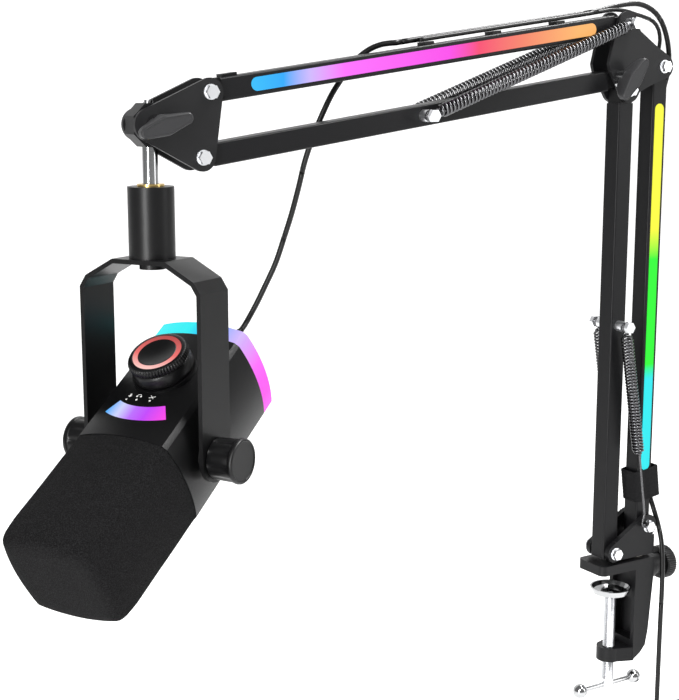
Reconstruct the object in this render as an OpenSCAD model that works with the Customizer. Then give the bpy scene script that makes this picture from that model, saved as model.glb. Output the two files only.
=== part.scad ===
// Desktop microphone on a sprung, lit boom arm with a desk clamp.
// The arm folds in the X-Z plane; the clamp's spine is on the +X side.
// Origin: the underside of the clamp's upper jaw, on the clamp screw's axis.

/* [Clamp] */
// Width of the jaws and spine
clamp_w = 31; // [29:0.5:34]
// Opening between the two jaws
throat_h = 68; // [62:1:72]
// Height of the pad's rim below the upper jaw
pad_drop = 16.5; // [14:0.5:22]
// Diameter of the clamp screw
screw_d = 10; // [9:0.5:10]

/* [Arm] */
// Pivot to pivot length of the lower tubes
lower_len = 372; // [340:2:380]
// Pivot to pivot length of the upper tubes
upper_len = 358; // [340:2:370]
// Fall of the upper tubes towards the microphone, in degrees
upper_fall = 8.2; // [4:0.1:12]
// Outside width of the square tubes
tube_w = 15; // [15:0.1:15.2]
// Wall of the square tubes
tube_wall = 1.2; // [1:0.1:1.5]
// Outside diameter of the balance springs
spring_d = 10; // [9:0.5:10]

/* [Microphone] */
// Turn of the yoke about the stud, in degrees
yoke_turn = -59.6; // [-75:0.1:-50]
// Nose-down tilt of the microphone, in degrees
mic_tilt = 31.2; // [25:0.1:35]
// Half the body's width across its curved sides
mic_half_w = 39.3; // [38:0.1:39.5]
// Half the body's height across its curved sides
mic_half_h = 38; // [37:0.1:38.5]
// Half the yoke's outside width
yoke_half_w = 47; // [46.5:0.5:49]
// Width of the yoke's strap
strap_w = 32; // [28:1:33]

/* [Cables] */
// Diameter of the microphone cable
cable_d = 4; // [3.6:0.1:4]
// Diameter of the light wire
wire_d = 3; // [2.4:0.1:3]

/* [Hidden] */
$fn = 48;
run_gap = 0.06;                       // diametral play of a running fit
bolt_d = 5;
head_af_r = 4.62;                     // corner radius of an 8 mm hexagon
tube_half = tube_w / 2;
tube_gap = 0.4;                       // tube side to knee and head plate
plate_t = 3;
plate_in = tube_half + tube_gap;
plate_out = plate_in + plate_t;
base_in = 9;
base_out = 13.5;
spring_y = 16.2;
tongue_r = 5.8;
tube_end = 10;                        // tube body starts this far from a pivot

// Pivots, as [x, z]
link_low = [34.8, 18];
link_up = [6, 41.5];
B1 = [-8.8, 17];
B2 = B1 + link_low;
P3 = B1 + [0, lower_len];
P4 = B2 + [0, lower_len];
P2 = P3 + [-10.2, 8];
P1 = P2 + link_up;
H2 = P2 - upper_len * [cos(upper_fall), sin(upper_fall)];
H1 = H2 + link_up;
J = H2 + [-32.2, 20.9];

// Spring anchors, as [x, z]
S2 = B1 + [0, 187.7];
S1 = P2 - 182 * [cos(upper_fall), sin(upper_fall)];
A2 = B2 + [-5.5, 4];

// Clamp and swivel
swivel_x = 23.5;
jaw_top = 8;
jaw_foot = -throat_h - 11.5;
spine_in = 13;
spine_out = 33;
lock_z = -5;
lock_in = spine_out + 9;
pad_z = -pad_drop;
bar_z = -102.5;
tip_z = -110;

// Microphone, in its own axes: Y runs to the rear, Z is the knob side
pivot_z = 155.3;
foam_y = -26.3;
foam_front = -119.5;
ring_y = 74;
rear_y = 86;
side_r = 108;                         // radius of the four curved sides
corner_r = 46.2;                      // circle that rounds the four corners
dial_y = 35.6;
dial_r = 21;
dial_top = 54.4;
boss_z = 39;

// Routes, as points [x, y, z]
SPAN = [[-315.5, 52.8, 218.5], [-310, 56, 222.4], [-304.5, 57.5, 229], [-300, 55.5, 238],
    [-295, 52.5, 250], [-289, 48, 266], [-285, 42, 285], [-282.5, 35, 303], [-281, 27.5, 322],
    [-280, 20.5, 340], [-276.5, 15, 357], [-271, 12, 372], [-263, 11, 387], [-253, 10.6, 400],
    [-243, 10.4, 410], [-233, 9, 416.8], [-224, 6, 419.7], [-216.5, 3.4, 421.18],
    [-211.5, 3.4, 421.9]];
ARM_RUN = [[-211.5, 3.4, 421.9], [-206.5, 3.4, 422.62], [-150, 3.4, 430.8], [-100, 3.4, 438],
    [-47, 3.4, 445.68], [-42, 3.4, 446.4]];
KNEE = [[-42, 3.4, 446.4], [-37, 3.4, 447.12], [-29, 3.2, 448.7], [-19, 3, 451.1], [-10, 2.6, 453],
    [0, 2.2, 454.3], [9, 1.8, 454.5], [18, 1.5, 452.4], [26, 1, 448.2], [32.5, 0.6, 441.5],
    [37, 0.3, 433], [40, 0, 423], [41.4, 0, 412.5], [40.2, 0, 401], [37.2, 0, 391],
    [36, 0, 384], [36, 0, 379]];
LOWER_RUN = [[36, 0, 379], [36, 0, 300], [36, 0, 200], [36, 0, 92]];
DROP = [[36, 0, 92], [36, 0, 87], [36, -0.4, 78], [36, -1.6, 67], [36.3, -4.2, 56.5], [37.6, -8, 46],
    [39.2, -12, 34], [39.8, -15.6, 22], [39.4, -18, 10], [39, -19.4, -4], [38.8, -20, -20],
    [38.6, -20, -45], [38.5, -20, -70], [38.5, -20, -95], [38.5, -20, -118], [38.5, -20, -130]];
JUMPER = [[-200, -1.4, 423.1], [-130, -1.4, 433.2], [-50, -1.4, 444.7], [-34, -1.5, 447.2],
    [-21, -1.8, 449], [-9, -2.4, 448.6], [2, -3, 446.2], [12, -2.8, 444.2], [21, -2.2, 441.4],
    [27.5, -1.4, 435.6], [30.2, -0.7, 427.6], [29.6, -0.2, 420], [27.5, 0, 413.2]];
COIL_AT = [60.5, -23.65, -151];
coil_r = 22;
coil_bundle = 13.4;
tail_x = COIL_AT.x - coil_r - 4.67;      // the cable leaves the coil straight down here
plug_z = -190;

// ---- helpers ----

function unit(v) = v / norm(v);
function tangent(p, i) =
    i == 0 ? unit(p[1] - p[0]) :
    i == len(p) - 1 ? unit(p[i] - p[i - 1]) : unit(unit(p[i + 1] - p[i]) + unit(p[i] - p[i - 1]));

// A plain tube of diameter d along the points p
module cord_tube(p, d, sides = 8) {
    n = len(p);
    rings = [for (i = [0:n - 1])
        let (t = tangent(p, i), u = unit(cross(t, [0, 1, 0])), v = cross(t, u))
        for (k = [0:sides - 1])
            p[i] + d / 2 * (cos(360 * k / sides) * u + sin(360 * k / sides) * v)];
    walls = [for (i = [0:n - 2], k = [0:sides - 1], half = [0, 1])
        let (a = i * sides + k, b = i * sides + (k + 1) % sides)
        half == 0 ? [a, b + sides, b] : [a, a + sides, b + sides]];
    near = [for (k = [0:sides - 1]) k];
    far = [for (k = [sides - 1:-1:0]) (n - 1) * sides + k];
    polyhedron(rings, concat([near, far], walls));
}

// A cylinder along Y through [x, z], from y0 to y1
module y_cyl(p, y0, y1, r) {
    translate([p.x, y1, p.y]) rotate([90, 0, 0]) cylinder(h = y1 - y0, r = r);
}

// The same with six flats
module y_hex(p, y0, y1) {
    translate([p.x, y1, p.y]) rotate([90, 0, 0]) cylinder(h = y1 - y0, r = head_af_r, $fn = 6);
}

// A drawing in X-Z, from y0 to y1
module slab(y0, y1) {
    translate([0, y1, 0]) rotate([90, 0, 0]) linear_extrude(y1 - y0) children();
}

// Outline of a band drawn tight round discs [x, y, radius], listed anticlockwise; a corner is a
// disc of no radius
function tangent_angle(a, b) =
    let (d = [b.x - a.x, b.y - a.y]) atan2(d.y, d.x) - acos((a.z - b.z) / norm(d));
function band(c) = let (n = len(c))
    [for (i = [0:n - 1])
        let (from = tangent_angle(c[(i + n - 1) % n], c[i]), to = tangent_angle(c[i], c[(i + 1) % n]),
            turn = (to - from + 720) % 360, steps = c[i].z == 0 ? 0 : ceil(turn / 7))
        for (k = [0:steps])
            let (a = from + (steps == 0 ? 0 : turn * k / steps))
            [c[i].x, c[i].y] + c[i].z * [cos(a), sin(a)]];

// Local +X runs from pivot p to pivot q
module arm_frame(p, q) {
    translate([p.x, 0, p.y]) rotate([0, -atan2(q.y - p.y, q.x - p.x), 0]) children();
}

module rounded_square(w, r) {
    square([w, w - 2 * r], center = true);
    square([w - 2 * r, w], center = true);
    for (x = [-1, 1], y = [-1, 1]) translate([x, y] * (w / 2 - r)) circle(r);
}

module stadium(len, w) {
    square([len - w, w], center = true);
    for (x = [-1, 1]) translate([x * (len - w) / 2, 0]) circle(w / 2);
}

// A square tube from s0 to s1 along the line from p to q, with holes across at each of bores
module square_tube(p, q, s0, s1, bores) {
    arm_frame(p, q) difference() {
        translate([s0, 0, 0]) rotate([90, 0, 90]) linear_extrude(s1 - s0) difference() {
            rounded_square(tube_w, 1.4);
            square(tube_w - 2 * tube_wall, center = true);
        }
        for (s = bores) y_cyl([s, 0], -tube_w, tube_w, (bolt_d + run_gap) / 2);
    }
}

// Tongue that carries a tube end on its pivot, in the tube's axes; dir is +1 or -1
module tongue(s, dir) {
    fill = tube_w - 2 * tube_wall;
    difference() {
        union() {
            y_cyl([s, 0], -tube_half + 0.1, tube_half - 0.1, tongue_r);
            translate([s + dir * (tube_end - 0.2) / 2, 0, 0])
                cube([tube_end - 0.2, tube_w - 0.2, 2 * tongue_r], center = true);
            translate([s + dir * (tube_end + 5), 0, 0]) cube([12, fill, fill], center = true);
        }
        y_cyl([s, 0], -tube_w, tube_w, (bolt_d + run_gap) / 2);
    }
}

// Filler block inside a tube at a pivot that lies within the tube
module filler(s) {
    fill = tube_w - 2 * tube_wall;
    difference() {
        translate([s, 0, 0]) cube([9, fill, fill], center = true);
        y_cyl([s, 0], -tube_w, tube_w, (bolt_d + run_gap) / 2);
    }
}

// Bolt with its nut and washers, across both plates whose outer faces are at y = reach
module bolt_set(p, reach) {
    y_cyl(p, -reach - 2, reach + 2, bolt_d / 2);
    for (side = [-1, 1]) {
        y_cyl(p, side > 0 ? reach : -reach - 0.9, side > 0 ? reach + 0.9 : -reach, 5);
        y_hex(p, side > 0 ? reach + 0.9 : -reach - 4.4, side > 0 ? reach + 4.4 : -reach - 0.9);
    }
}

// Long bolt that carries a spring on each side of the part whose faces are at y = reach
module spring_bolt(p, reach) {
    y_cyl(p, -19, 19, bolt_d / 2);
    for (side = [-1, 1]) {
        y_cyl(p, side > 0 ? reach : -14.4, side > 0 ? 14.4 : -reach, 4.2);
        y_hex(p, side > 0 ? 18.4 : -22, side > 0 ? 22 : -18.4);
    }
}

// Pair of springs from p to q: coils from s0 to s1, then plain wire to the hook
module spring_pair(p, q, s0, s1) {
    for (side = [-1, 1]) translate([0, side * spring_y, 0]) arm_frame(p, q) {
        translate([2.5, 0, 0]) rotate([0, 90, 0]) cylinder(h = norm(q - p) - 5, d = 2);
        translate([s0, 0, 0]) rotate([0, 90, 0]) cylinder(h = s1 - s0, d = spring_d);
    }
}

// Clamping lever: a long handle on a hub, its screw running back to y = tail
module lever(p, turn, tail) {
    translate([p.x, 0, p.y]) rotate([0, -turn, 0]) {
        slab(-29, -20) polygon(band([[-14.8, 0, 3.7], [0, -0.3, 6], [14.8, 0, 3.7], [0, 0.3, 6]]));
        slab(-20, -15.6) polygon(band([[-8, 0, 3.7], [0, -0.3, 6.7], [8, 0, 3.7], [0, 0.3, 6.7]]));
        y_cyl([0, 0], -20, -plate_out - 0.4, 7);
        y_cyl([0, 0], -plate_out - 0.4, tail, bolt_d / 2);
        y_hex([0, 0], plate_out + 0.4, plate_out + 4.4);
    }
}

module in_yoke() { translate([J.x, 0, 0]) rotate([0, 0, yoke_turn]) children(); }
module in_mic() { in_yoke() translate([0, 0, pivot_z]) rotate([mic_tilt, 0, 0]) children(); }

// The body's outline, drawn in by `inset`
module mic_section(inset = 0) {
    r = side_r - inset;
    intersection() {
        translate([side_r - mic_half_w, 0]) circle(r, $fn = 180);
        translate([mic_half_w - side_r, 0]) circle(r, $fn = 180);
        translate([0, side_r - mic_half_h]) circle(r, $fn = 180);
        translate([0, mic_half_h - side_r]) circle(r, $fn = 180);
        circle(corner_r - inset, $fn = 96);
    }
}

// ---- clamp ----

module clamp_frame() {
    half = clamp_w / 2;
    color("#2b2c2f") difference() {
        union() {
            // upper jaw, rounded at its free corners
            linear_extrude(jaw_top) {
                translate([-18.5, -half]) square([spine_out + 18.5, clamp_w]);
                translate([-23.5, -half + 5]) square([10, clamp_w - 10]);
                for (side = [-1, 1]) translate([-18.5, side * (half - 5)]) circle(5);
            }
            // spine, tapering to the foot
            slab(-half, half) polygon([[spine_in, jaw_top], [spine_out, jaw_top],
                [spine_out, -8], [29, -55], [26.5, -throat_h], [21, jaw_foot + 5.5],
                [spine_in, jaw_foot + 0.6]]);
            // lower jaw, narrowing to the screw's boss
            translate([0, 0, jaw_foot]) linear_extrude(11.5) {
                polygon([[0, -10], [spine_in + 1, -half], [spine_in + 1, half], [0, 10]]);
                circle(10);
            }
            translate([spine_out - 1, 0, lock_z]) rotate([0, 90, 0])
                cylinder(h = lock_in - spine_out + 1, r = 11);
        }
        // hollow of the casting, open towards the screw; its upper part only clears the pad
        translate([spine_in - 1, -half + 4, -62]) cube([11, clamp_w - 8, 34]);
        translate([spine_in - 1, -half + 4, -30]) cube([5.7, clamp_w - 8, 29.4]);
        translate([0, 0, jaw_foot - 1]) cylinder(h = 14, d = screw_d + run_gap);
        translate([swivel_x, 0, -24]) cylinder(h = 40, d = 10.1);
        translate([swivel_x, 0, lock_z]) rotate([0, 90, 0]) cylinder(h = 30, d = 6.06);
    }
}

module clamp_pad() {
    color("#c9ccd0") difference() {
        translate([0, 0, pad_z - 8]) rotate_extrude()
            polygon([[0, 0], [9, 0], [15, 3.2], [17, 8], [15.6, 8], [13.8, 4.6], [8.5, 2.4], [0, 2.4]]);
        translate([0, 0, pad_z - 9]) cylinder(h = 5, d = 6.1);
    }
}

module clamp_screw() {
    color("#c9ccd0") difference() {
        union() {
            translate([0, 0, tip_z]) cylinder(h = pad_z - 8.3 - tip_z, d = screw_d);
            translate([0, 0, pad_z - 9]) cylinder(h = 4.6, d = 6);
            translate([0, 0, pad_z - 5.3]) cylinder(h = 1.6, r = 4.5);
        }
        translate([-10, 0, bar_z]) rotate([0, 90, 0]) cylinder(h = 20, d = 4.1);
    }
}

module t_bar() {
    color("#d4d7da") {
        translate([-27, 0, bar_z]) rotate([0, 90, 0]) cylinder(h = 54, d = 4);
        for (side = [-1, 1]) translate([side * 29.6, 0, bar_z]) sphere(6);
    }
}

module lock_knob() {
    color("#1b1c1e") translate([0, 0, lock_z]) rotate([0, 90, 0]) {
        translate([0, 0, 28.9]) cylinder(h = 24, d = 6);
        translate([0, 0, lock_in + 0.3]) cylinder(h = 9.4, r = 9);
        translate([0, 0, 51.5]) cylinder(h = 10.5, r = 14);
    }
}

// ---- base ----

module swivel_washer() {
    color("#dcd8c8") translate([swivel_x, 0, jaw_top]) difference() {
        cylinder(h = 0.8, r = 8.8);
        translate([0, 0, -1]) cylinder(h = 3, d = 10.1);
    }
}

module swivel_pin() {
    color("#b9bcc0") translate([swivel_x, 0, -22]) cylinder(h = 42, d = 10);
}

module base_bracket() {
    color("#2b2c2f") difference() {
        union() {
            for (side = [-1, 1])
                slab(side > 0 ? base_in : -base_out, side > 0 ? base_out : -base_in) {
                    polygon(band([[B1.x, B1.y, 7.5], [B2.x, B2.y, 9.5]]));
                    translate([B1.x, 10.5]) square([B2.x - B1.x + 8, 16]);
                }
            slab(-base_in, base_in) translate([3.6, 9]) square([30.4, 13]);
            for (side = [-1, 1])
                y_cyl(A2, side > 0 ? base_out - 1 : -19.5, side > 0 ? 19.5 : -base_out + 1, 1.5);
        }
        for (p = [B1, B2]) y_cyl(p, -20, 20, (bolt_d + run_gap) / 2);
        translate([swivel_x, 0, 5]) cylinder(h = 15, d = 10);
    }
}

module base_fasteners() {
    color("#d4d7da") for (p = [B1, B2]) bolt_set(p, base_out);
    color("#e4e2da") for (p = [B1, B2], side = [-1, 1]) difference() {
        y_cyl(p, side > 0 ? 7.6 : -8.9, side > 0 ? 8.9 : -7.6, 5);
        y_cyl(p, -10, 10, bolt_d / 2);
    }
}

// ---- lower arm ----

module lower_front_tube() {
    color("#2d2e30") square_tube(B1, P3, -5, lower_len - tube_end, [0, 187.7]);
}

module lower_front_plugs() {
    color("#17181a") arm_frame(B1, P3) {
        filler(0);
        tongue(lower_len, -1);
    }
}

module lower_spring_bolt() { color("#d4d7da") spring_bolt(S2, tube_half); }
module lower_springs() { color("#161616") spring_pair(S2, A2, 7, 108); }

module lower_rear_tube() {
    color("#2d2e30") difference() {
        square_tube(B2, P4, -7, lower_len - tube_end, [0]);
        translate([B2.x, 0, 230]) rotate([0, 90, 0]) slab(-tube_w, 0) stadium(297, 9);
    }
}

module lower_rear_plugs() {
    color("#17181a") arm_frame(B2, P4) {
        filler(0);
        tongue(lower_len, -1);
    }
}

module lower_light_bar() {
    color("#7cf52c") translate([B2.x, 0, 230]) rotate([0, 90, 0])
        slab(-tube_half - 0.3, -tube_half + 3.4) stadium(297, 9);
}

// Fabric strap, buckled round the rear tube and the cable
module cable_strap() {
    color("#1d1d1f") translate([B2.x, 0, 69]) rotate([0, -8, 0]) difference() {
        translate([-11, -9.6, -13]) cube([27.4, 19.2, 26]);
        translate([-9.8, -8.4, -14]) cube([25, 16.8, 28]);
    }
}

// ---- knee ----

module knee_plate(y0, y1) {
    color("#3c3d41") difference() {
        slab(y0, y1) polygon(band([[P1.x, P1.y, 9.5], [-26, 428, 0], [-28.5, 419, 0],
            [-31, 408.5, 0], [-29.5, 403.5, 0], [P3.x, P3.y, 9.5], [1.5, 387.5, 0], [14, 393, 0],
            [P4.x, P4.y, 9.5], [16.5, 423, 0], [0, 433.5, 0]]));
        for (p = [P1, P2, P3, P4]) y_cyl(p, -20, 20, (bolt_d + run_gap) / 2);
    }
}
module knee_plate_front() { knee_plate(-plate_out, -plate_in); }
module knee_plate_back() { knee_plate(plate_in, plate_out); }

module knee_fasteners() {
    color("#d4d7da") {
        spring_bolt(P1, plate_out);
        bolt_set(P3, plate_out);
        bolt_set(P4, plate_out);
    }
}

module knee_lever() { color("#4a4b4f") lever(P2, 54, plate_out + 5); }

// ---- upper arm ----

module upper_top_tube() {
    color("#2d2e30") difference() {
        square_tube(P1, H1, tube_end, upper_len - tube_end, []);
        arm_frame(P1, H1) translate([178, 0, 0]) slab(-tube_w, 0) stadium(297, 9);
    }
}

module upper_top_plugs() {
    color("#17181a") arm_frame(P1, H1) {
        tongue(0, 1);
        tongue(upper_len, -1);
    }
}

module upper_light_bar() {
    color("#e05ad8") arm_frame(P1, H1) translate([178, 0, 0])
        slab(-tube_half - 0.3, -tube_half + 3.4) stadium(297, 9);
}

// Adhesive seats that hold the cables on top of the tube, and a spare one at the far end
module cable_clips() {
    // local Z points down here, because the tube runs towards -X
    color("#17181a") arm_frame(P1, H1) {
        for (s = [60, 120, 180]) translate([s - 4, -3.6, -tube_half - 2]) cube([8, 9.4, 2]);
        translate([334, -4, -tube_half - 2]) cube([11, 8, 2]);
    }
}

module upper_bottom_tube() {
    color("#2d2e30") square_tube(P2, H2, tube_end, upper_len - tube_end, [182]);
}

module upper_bottom_plugs() {
    color("#17181a") arm_frame(P2, H2) {
        tongue(0, 1);
        tongue(upper_len, -1);
    }
}

module upper_spring_bolt() { color("#d4d7da") spring_bolt(S1, tube_half); }
module upper_springs() { color("#161616") spring_pair(S1, P1, 7, norm(P1 - S1) - 7); }

// ---- head ----

module head_plate(y0, y1) {
    color("#3c3d41") difference() {
        slab(y0, y1)
            polygon(band([[J.x - 4, J.y + 0.2, 10.5], [H2.x, H2.y, 9], [H1.x, H1.y, 9]]));
        for (p = [J, H1, H2]) y_cyl(p, -20, 20, (bolt_d + run_gap) / 2);
    }
}
module head_plate_front() { head_plate(-plate_out, -plate_in); }
module head_plate_back() { head_plate(plate_in, plate_out); }
module head_fasteners() { color("#d4d7da") for (p = [H1, H2]) bolt_set(p, plate_out); }
module head_lever() { color("#4a4b4f") lever(J, 17.5, plate_out + 5); }

// ---- microphone mount ----

module pivot_block() {
    color("#232427") difference() {
        translate([J.x, tube_half - 0.1, J.y]) rotate([90, 22.5, 0])
            cylinder(h = tube_w - 0.2, r = 14.8, $fn = 8);
        y_cyl(J, -20, 20, (bolt_d + run_gap) / 2);
        translate([J.x, 0, J.y - 20]) cylinder(h = 15, d = 10);
        translate([J.x, 0, J.y + 5]) cylinder(h = 15, d = 6);
    }
}

module stud() {
    color("#d4d7da") translate([J.x, 0, 0]) {
        translate([0, 0, 299]) cylinder(h = J.y - 5.2 - 299, d = 10);
        translate([0, 0, J.y + 6]) cylinder(h = 9.6, d = 6);
    }
}

module thread_insert() {
    color("#b08d4c") in_yoke() difference() {
        union() {
            translate([0, 0, 312]) cylinder(h = 16.2, d = 15.9);
            translate([0, 0, 328.2]) cylinder(h = 1.6, d = 17.6);
        }
        translate([0, 0, 300]) cylinder(h = 40, d = 10.1);
    }
}

module adapter_sleeve() {
    color("#202124") in_yoke() difference() {
        union() {
            translate([0, 0, 282.3]) cylinder(h = 45.9, d = 30);
            translate([0, 0, 279]) cylinder(h = 4, d = 10);
            translate([0, 0, 275.3]) cylinder(h = 4, d = 17);
        }
        translate([0, 0, 296]) cylinder(h = 40, d = 15.9);
    }
}

// ---- yoke ----

module yoke_strap() {
    w = yoke_half_w;
    color("#232427") in_yoke() difference() {
        union() {
            slab(-strap_w / 2, strap_w / 2) polygon([[-w, pivot_z], [-w, 263], [5 - w, 270.6],
                [-20.5, 282.3], [20.5, 282.3], [w - 5, 270.6], [w, 263], [w, pivot_z],
                [w - 3, pivot_z], [w - 3, 262], [w - 7, 268.2], [19.7, 279.3], [-19.7, 279.3],
                [7 - w, 268.2], [3 - w, 262], [3 - w, pivot_z]]);
            for (x = [-w, w - 3])
                translate([x, 0, pivot_z]) rotate([0, 90, 0]) cylinder(h = 3, r = strap_w / 2);
        }
        translate([-60, 0, pivot_z]) rotate([0, 90, 0]) cylinder(h = 120, d = 8.1);
        translate([0, 0, 270]) cylinder(h = 20, d = 10);
    }
}

// Stepped hand knob with its screw, on the side given by dir
module yoke_knob(dir) {
    color("#1e1f21") in_yoke() translate([0, 0, pivot_z]) rotate([0, dir * 90, 0]) {
        translate([0, 0, 37]) cylinder(h = 16, d = 8);
        translate([0, 0, yoke_half_w + 0.3]) cylinder(h = 7, r = 12.4);
        translate([0, 0, yoke_half_w + 7.3]) cylinder(h = 13.2, r = 15);
    }
}
module yoke_knob_left() { yoke_knob(-1); }
module yoke_knob_right() { yoke_knob(1); }

// ---- microphone ----

module mic_body() {
    color("#232427") in_mic() difference() {
        union() {
            slab(foam_y, ring_y) mic_section();
            translate([0, dial_y, 30]) cylinder(h = boss_z - 30, r = 22);
            for (dir = [-1, 1]) rotate([0, dir * 90, 0]) translate([0, 0, 34])
                cylinder(h = yoke_half_w - 37.3, r = 10);
        }
        slab(foam_y + 3.5, ring_y + 1) mic_section(2.6);
        slab(foam_y - 1, foam_y + 4) circle(24);
        rotate([0, 90, 0]) translate([0, 0, -60]) cylinder(h = 120, d = 8.1);
        translate([0, dial_y, 20]) cylinder(h = 30, d = 6.1);
        translate([0, dial_y, 0]) linear_extrude(60) mute_outline(0.1);
    }
}

// The touch strip's outline, an arc in front of the dial
module mute_outline(grow) {
    intersection() {
        difference() {
            circle(47.3 + grow, $fn = 120);
            circle(35.3 - grow, $fn = 120);
        }
        polygon([[0, 0], [-32.5 - grow, -56], [32.5 + grow, -56]]);
    }
}

module mute_strip() {
    color("#b07cff") in_mic() intersection() {
        translate([0, dial_y, 34]) linear_extrude(10) mute_outline(0);
        slab(foam_y, ring_y) mic_section(-0.3);
    }
}

module light_ring() {
    color("#b061ff") in_mic() slab(ring_y, rear_y) difference() {
        mic_section();
        mic_section(6);
    }
}

module rear_panel() {
    color("#1a1b1d") in_mic() difference() {
        slab(79, 82) mic_section(6);
        slab(70, 90) square([12, 7], center = true);
        translate([18, 90, -12]) rotate([90, 0, 0]) cylinder(h = 20, d = 5.1);
    }
}

module light_button() {
    color("#55585c") in_mic() translate([18, 83.4, -12]) rotate([90, 0, 0]) {
        cylinder(h = 7, d = 5);
        translate([0, 0, 5]) cylinder(h = 2, d = 6.4);
    }
}

module gain_knob() {
    color("#1b1c1e") in_mic() translate([0, dial_y, 0]) difference() {
        union() {
            translate([0, 0, boss_z + 0.3]) cylinder(h = dial_top - boss_z - 0.3, r = dial_r);
            translate([0, 0, 26]) cylinder(h = 20, d = 6);
        }
        translate([0, 0, dial_top - 1.8]) difference() {
            cylinder(h = 3, r = 16.7);
            translate([0, 0, -1]) cylinder(h = 6, r = 13.3);
        }
        translate([0, 0, dial_top + 34]) sphere(36, $fn = 96);
    }
}

module gain_knob_ring() {
    color("#ff4040") in_mic() translate([0, dial_y, dial_top - 1.8]) difference() {
        cylinder(h = 1.8, r = 16.6);
        translate([0, 0, -1]) cylinder(h = 4, r = 13.4);
    }
}

module grille() {
    color("#5c5e62") in_mic() difference() {
        slab(-96, foam_y) circle(27);
        slab(-94.8, foam_y + 1) circle(25.8);
    }
}

module capsule() {
    color("#8d8f93") in_mic() {
        slab(-58, -40) circle(20);
        slab(-40, foam_y) circle(14);
        slab(foam_y, foam_y + 3.5) circle(24);
    }
}

module main_board() {
    color("#1f5c3a") in_mic() {
        intersection() {
            translate([-40, -15, -16]) cube([80, 82, 1.6]);
            slab(-15, 67) mic_section(2.6);
        }
        translate([-8, 30, -14.4]) cube([16, 12, 9]);
        translate([-6, 60, -14.4]) cube([12, 9, 7]);
    }
}

module windscreen() {
    color("#151516") in_mic() difference() {
        // sections from the body to the rounded front, which leans a little to one side
        hull() for (s = [[0.4, -0.1, 0], [74, 0.4, 0.8], [84.5, 1.1, 0.93], [89.3, 2.6, 0.97],
                [92, 5.5, 1], [foam_y - foam_front, 11, 1]])
            translate([-1.8 * s[2], 0, 0.4 * s[2]])
                slab(foam_y - s[0], foam_y - s[0] + 0.4) mic_section(s[1]);
        slab(-96, foam_y + 1) circle(27);
    }
}

// ---- cables ----

module mic_plug() {
    color("#1a1b1d") in_mic() {
        slab(78, 84) square([12, 7], center = true);
        slab(84, 104) stadium(14, 10);
        translate([0, 104, 0]) rotate([-90, 0, 0]) cylinder(h = 18, r1 = 4, r2 = 2.7);
    }
}

module cable_span() { color("#161617") cord_tube(SPAN, cable_d); }
module cable_arm_run() { color("#161617") cord_tube(ARM_RUN, cable_d); }
module cable_knee_loop() { color("#161617") cord_tube(KNEE, cable_d); }
module cable_lower_run() { color("#161617") cord_tube(LOWER_RUN, cable_d); }
module cable_drop() { color("#161617") cord_tube(DROP, cable_d); }
module light_jumper() { color("#161617") cord_tube(JUMPER, wire_d); }

module cable_coil() {
    color("#161617") translate(COIL_AT) rotate([90, 0, 0]) rotate_extrude($fn = 64)
        translate([coil_r, 0]) circle(d = coil_bundle, $fn = 24);
}

// USB-A plug that hangs below the coil, with its last stretch of cable
module usb_plug() {
    translate([tail_x, COIL_AT.y, plug_z]) {
        color("#1a1b1d") {
            cylinder(h = 23.2, d = cable_d);
            translate([0, 0, -9]) cylinder(h = 9, r1 = 3.6, r2 = 2.6);
            translate([-8, -4, -35]) cube([16, 8, 26]);
        }
        color("#c3c6ca") translate([-6, -2.25, -47]) cube([12, 4.5, 12]);
    }
}

clamp_frame();
clamp_pad();
clamp_screw();
t_bar();
lock_knob();
swivel_washer();
swivel_pin();
base_bracket();
base_fasteners();
lower_front_tube();
lower_front_plugs();
lower_spring_bolt();
lower_springs();
lower_rear_tube();
lower_rear_plugs();
lower_light_bar();
cable_strap();
knee_plate_front();
knee_plate_back();
knee_fasteners();
knee_lever();
upper_top_tube();
upper_top_plugs();
upper_light_bar();
cable_clips();
upper_bottom_tube();
upper_bottom_plugs();
upper_spring_bolt();
upper_springs();
head_plate_front();
head_plate_back();
head_fasteners();
head_lever();
pivot_block();
stud();
thread_insert();
adapter_sleeve();
yoke_strap();
yoke_knob_left();
yoke_knob_right();
mic_body();
rear_panel();
light_ring();
mute_strip();
gain_knob();
gain_knob_ring();
grille();
capsule();
main_board();
windscreen();
light_button();
mic_plug();
cable_span();
cable_arm_run();
cable_knee_loop();
cable_lower_run();
cable_drop();
cable_coil();
usb_plug();
light_jumper();
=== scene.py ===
import math

import bpy
import bmesh
import numpy as np
from mathutils import Matrix, Vector, noise


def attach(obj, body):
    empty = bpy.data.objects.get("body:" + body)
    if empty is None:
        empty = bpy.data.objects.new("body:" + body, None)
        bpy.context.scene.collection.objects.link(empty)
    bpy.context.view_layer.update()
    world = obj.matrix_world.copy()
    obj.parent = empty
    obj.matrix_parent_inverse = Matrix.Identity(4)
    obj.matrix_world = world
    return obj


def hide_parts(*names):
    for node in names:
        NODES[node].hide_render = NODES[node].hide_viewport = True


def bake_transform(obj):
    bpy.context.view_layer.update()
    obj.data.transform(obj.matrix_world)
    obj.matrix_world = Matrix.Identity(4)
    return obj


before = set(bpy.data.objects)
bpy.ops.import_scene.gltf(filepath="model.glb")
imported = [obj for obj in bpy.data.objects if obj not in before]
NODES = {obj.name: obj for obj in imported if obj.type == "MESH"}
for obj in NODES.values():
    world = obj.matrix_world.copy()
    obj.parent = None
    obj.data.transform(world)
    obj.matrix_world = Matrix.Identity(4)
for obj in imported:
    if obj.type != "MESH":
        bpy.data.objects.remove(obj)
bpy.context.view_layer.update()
MM = 0.001

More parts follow.
